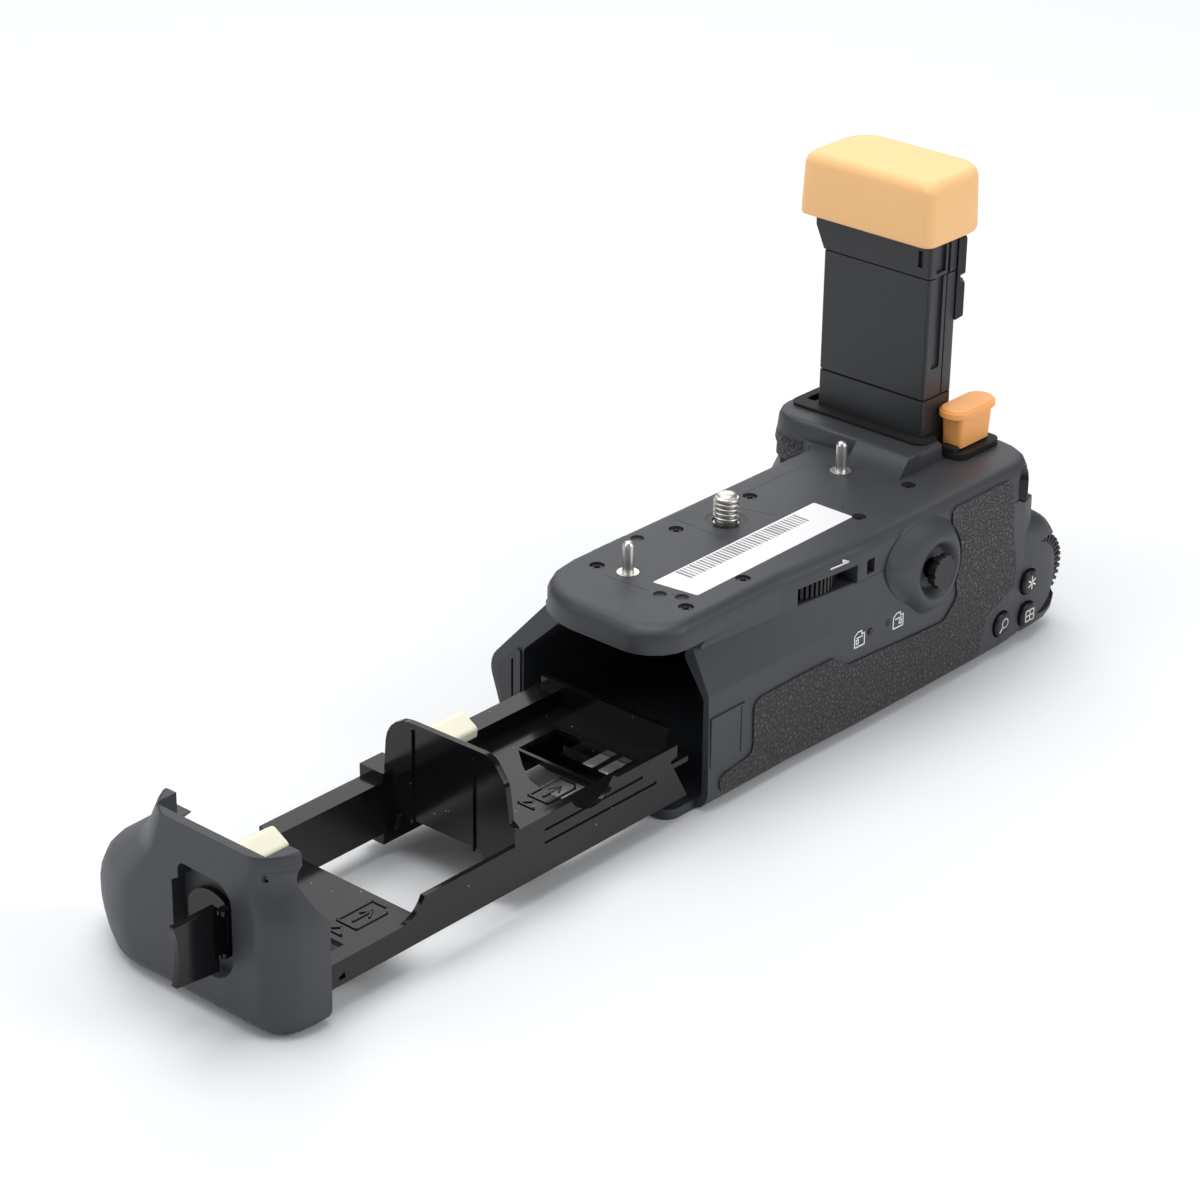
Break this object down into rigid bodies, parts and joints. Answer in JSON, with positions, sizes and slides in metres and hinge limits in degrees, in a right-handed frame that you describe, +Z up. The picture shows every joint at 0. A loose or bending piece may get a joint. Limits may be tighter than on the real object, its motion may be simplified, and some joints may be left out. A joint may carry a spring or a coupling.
{
  "type": "camera battery grip",
  "caption": "Camera battery grip: moulded housing with a contact column, drawn-out battery tray with a turning handle, joystick, buttons, dial and a camera screw driven by a thumb wheel.",
  "frame": {"origin": "mouth of the tripod socket in the base, under the camera screw axis", "axes": "+X along the grip towards the contact column, +Y towards the front of the camera, +Z up towards the camera"},
  "size_m": [0.302, 0.0801, 0.1271],
  "materials": {
    "body_plastic": "fine sprayed texture, matte",
    "skin_rubber": "leather-grained rubber",
    "column_plastic": "smooth satin moulding",
    "tray_plastic": "polished black moulding",
    "control_plastic": "satin black",
    "seal_rubber": "soft matte rubber",
    "connector_plastic": "black insulator with gilt contacts",
    "latch_plastic": "cream moulding",
    "big_cover_plastic": "pale orange moulding",
    "small_cover_rubber": "orange rubber",
    "steel": "bright nickel plate",
    "spring_steel": "sprung strip",
    "screw_black": "blackened",
    "label_white": "white printed film",
    "board": "green laminate"
  },
  "bodies": {
    "housing": {"main_casing": "body_plastic", "top_cover": "body_plastic", "rear_skin": "skin_rubber", "front_skin": "skin_rubber", "side_panel": "body_plastic", "mouth_frame": "column_plastic", "tower_gasket": "seal_rubber", "connector_gasket": "seal_rubber", "column_sleeve": "column_plastic", "column_shell": "column_plastic", "column_head": "column_plastic", "column_catch": "column_plastic", "terminal_block": "connector_plastic", "joystick_boss": "body_plastic", "charge_lights": "control_plastic", "guide_pins": "steel", "cover_screws": "screw_black", "label_plate": "label_white", "circuit_board": "board", "chamber_contacts": "connector_plastic", "tripod_socket": "steel", "screw_bush": "steel", "wheel_axle": "steel", "camera_connector": "connector_plastic", "dial_axle": "steel"},
    "camera_screw": {"tripod_screw": "steel"},
    "thumb_wheel": {"thumb_wheel": "control_plastic"},
    "magazine": {"magazine_cap": "body_plastic", "tray_frame": "tray_plastic", "bay_contacts": "spring_steel", "latch_pins": "steel", "latch_springs": "spring_steel"},
    "outer_latch": {"outer_latch": "latch_plastic"},
    "inner_latch": {"inner_latch": "latch_plastic"},
    "handle_mount": {"handle_base": "tray_plastic", "release_claw": "steel"},
    "handle": {"release_handle": "tray_plastic"},
    "stick_ring": {"joystick_gimbal": "steel"},
    "stick_yoke": {"joystick_yoke": "steel"},
    "stick": {"joystick_stem": "control_plastic", "joystick_cap": "control_plastic"},
    "focus_button": {"focus_button": "control_plastic"},
    "star_button": {"star_button": "control_plastic"},
    "grid_button": {"grid_button": "control_plastic"},
    "zoom_button": {"zoom_button": "control_plastic"},
    "shutter_button": {"shutter_button": "control_plastic"},
    "control_dial": {"control_dial": "control_plastic"},
    "lock_switch": {"lock_switch": "control_plastic"},
    "big_cover": {"big_cover": "big_cover_plastic"},
    "small_cover": {"small_cover": "small_cover_rubber"}
  },
  "joints": [
    {"name": "magazine_slide", "type": "slide", "parent": "housing", "child": "magazine", "axis": [1, 0, 0], "range_m": [0, 0.1242]},
    {"name": "outer_latch_swing", "type": "hinge", "parent": "magazine", "child": "outer_latch", "pos_m": [-0.152, 0.0124, 0.0079], "axis": [-1, 0, 0], "range_deg": [0, 12], "stiffness_Nm_per_rad": 0.05},
    {"name": "inner_latch_swing", "type": "hinge", "parent": "magazine", "child": "inner_latch", "pos_m": [-0.0904, 0.0124, 0.0079], "axis": [-1, 0, 0], "range_deg": [0, 12], "stiffness_Nm_per_rad": 0.05},
    {"name": "handle_turn", "type": "hinge", "parent": "magazine", "child": "handle_mount", "pos_m": [-0.1822, -0.0099, 0.022], "axis": [1, 0, 0], "range_deg": [0, 90]},
    {"name": "handle_fold", "type": "hinge", "parent": "handle_mount", "child": "handle", "pos_m": [-0.1842, -0.015, 0.022], "axis": [0, 0, 1], "range_deg": [-88, 0]},
    {"name": "screw_turn", "type": "hinge", "parent": "housing", "child": "camera_screw", "pos_m": [0, 0, 0.05], "axis": [0, 0, 1], "continuous": true},
    {"name": "wheel_turn", "type": "hinge", "parent": "housing", "child": "thumb_wheel", "pos_m": [0, -0.018, 0.045], "axis": [0, 0, 1], "continuous": true},
    {"name": "joystick_side", "type": "hinge", "parent": "housing", "child": "stick_ring", "pos_m": [0.04, -0.03126, 0.0368], "axis": [0, 0, 1], "range_deg": [-10, 10], "stiffness_Nm_per_rad": 0.02},
    {"name": "joystick_up", "type": "hinge", "parent": "stick_ring", "child": "stick_yoke", "pos_m": [0.04, -0.03126, 0.0368], "axis": [1, 0, 0], "range_deg": [-10, 10], "stiffness_Nm_per_rad": 0.02},
    {"name": "joystick_press", "type": "slide", "parent": "stick_yoke", "child": "stick", "axis": [0, 1, 0], "range_m": [0, 0.0006], "stiffness_N_per_m": 400},
    {"name": "focus_press", "type": "slide", "parent": "housing", "child": "focus_button", "axis": [-0.7071, 0.7071, 0], "range_m": [0, 0.0006], "stiffness_N_per_m": 400},
    {"name": "star_press", "type": "slide", "parent": "housing", "child": "star_button", "axis": [0, 1, 0], "range_m": [0, 0.0006], "stiffness_N_per_m": 400},
    {"name": "grid_press", "type": "slide", "parent": "housing", "child": "grid_button", "axis": [0, 1, 0], "range_m": [0, 0.0006], "stiffness_N_per_m": 400},
    {"name": "zoom_press", "type": "slide", "parent": "housing", "child": "zoom_button", "axis": [0, 1, 0], "range_m": [0, 0.0006], "stiffness_N_per_m": 400},
    {"name": "shutter_press", "type": "slide", "parent": "housing", "child": "shutter_button", "axis": [-1, 0, 0], "range_m": [0, 0.0009], "stiffness_N_per_m": 400},
    {"name": "dial_turn", "type": "hinge", "parent": "housing", "child": "control_dial", "pos_m": [0.093, -0.0293, 0.0165], "axis": [0, 1, 0], "continuous": true},
    {"name": "lock_turn", "type": "hinge", "parent": "housing", "child": "lock_switch", "pos_m": [0.062, 0.038, 0.016], "axis": [0, 1, 0], "range_deg": [0, 40]},
    {"name": "big_cover_pull", "type": "slide", "parent": "housing", "child": "big_cover", "axis": [0, 0, 1], "range_m": [0, 0.03]},
    {"name": "small_cover_pull", "type": "slide", "parent": "housing", "child": "small_cover", "axis": [0, 0, 1], "range_m": [0, 0.016]}
  ],
  "couplings": [
    {"joint": "wheel_turn", "follows": "screw_turn", "ratio": -0.63636}
  ]
}
